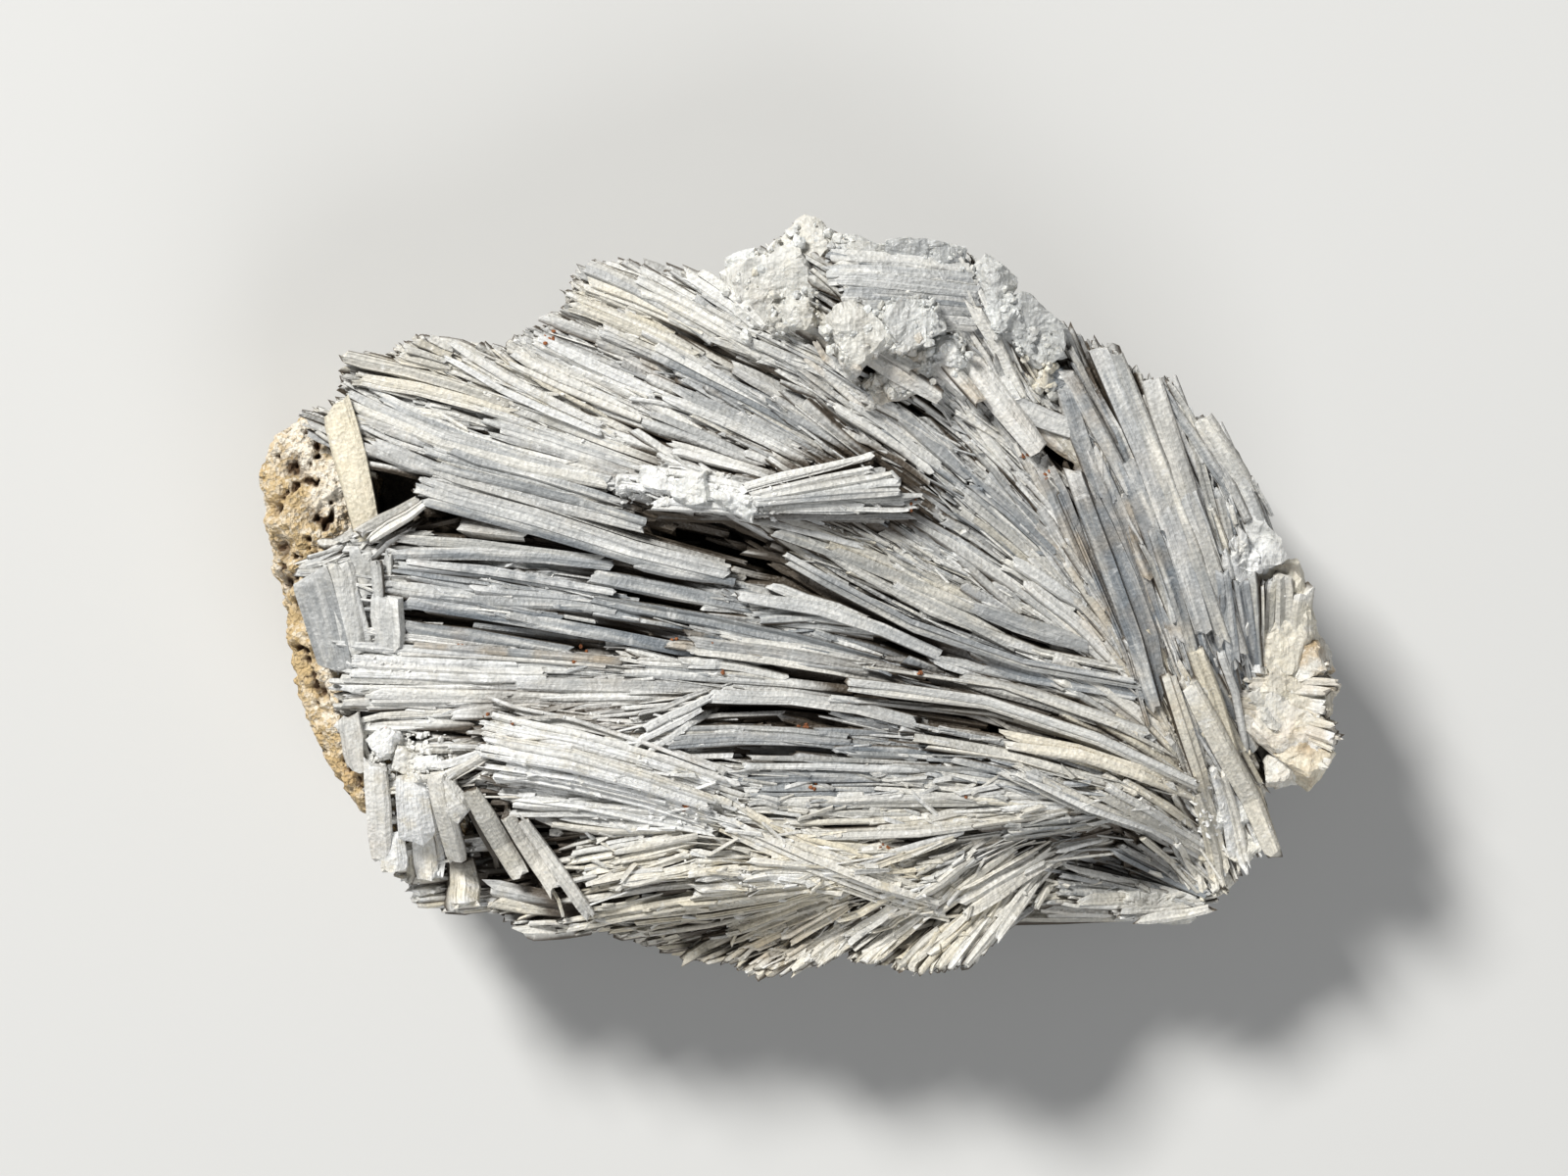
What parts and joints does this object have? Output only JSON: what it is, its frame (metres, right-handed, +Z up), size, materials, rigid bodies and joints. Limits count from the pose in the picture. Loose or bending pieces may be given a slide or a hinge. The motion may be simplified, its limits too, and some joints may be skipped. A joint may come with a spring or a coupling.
{
  "type": "edenite crystal specimen",
  "caption": "Hand-sized mineral specimen: a flattish mass of diverging bladed white-grey edenite crystals with a strip of tan matrix rock along one edge.",
  "frame": {"origin": "middle of the bounding box seen from above, on the flat broken back that the specimen lies on", "axes": "+X along the specimen's length, from the matrix rock to the crystals' main root; +Y across it, towards the blocky granular crystals; +Z up out of the crystal face"},
  "size_m": [0.1128, 0.0783, 0.0329],
  "materials": {
    "crystal": "vitreous to silky",
    "rock": "dull, pitted"
  },
  "bodies": {
    "root": {"crystal_mass": "crystal", "matrix_rock": "rock"}
  },
  "joints": []
}
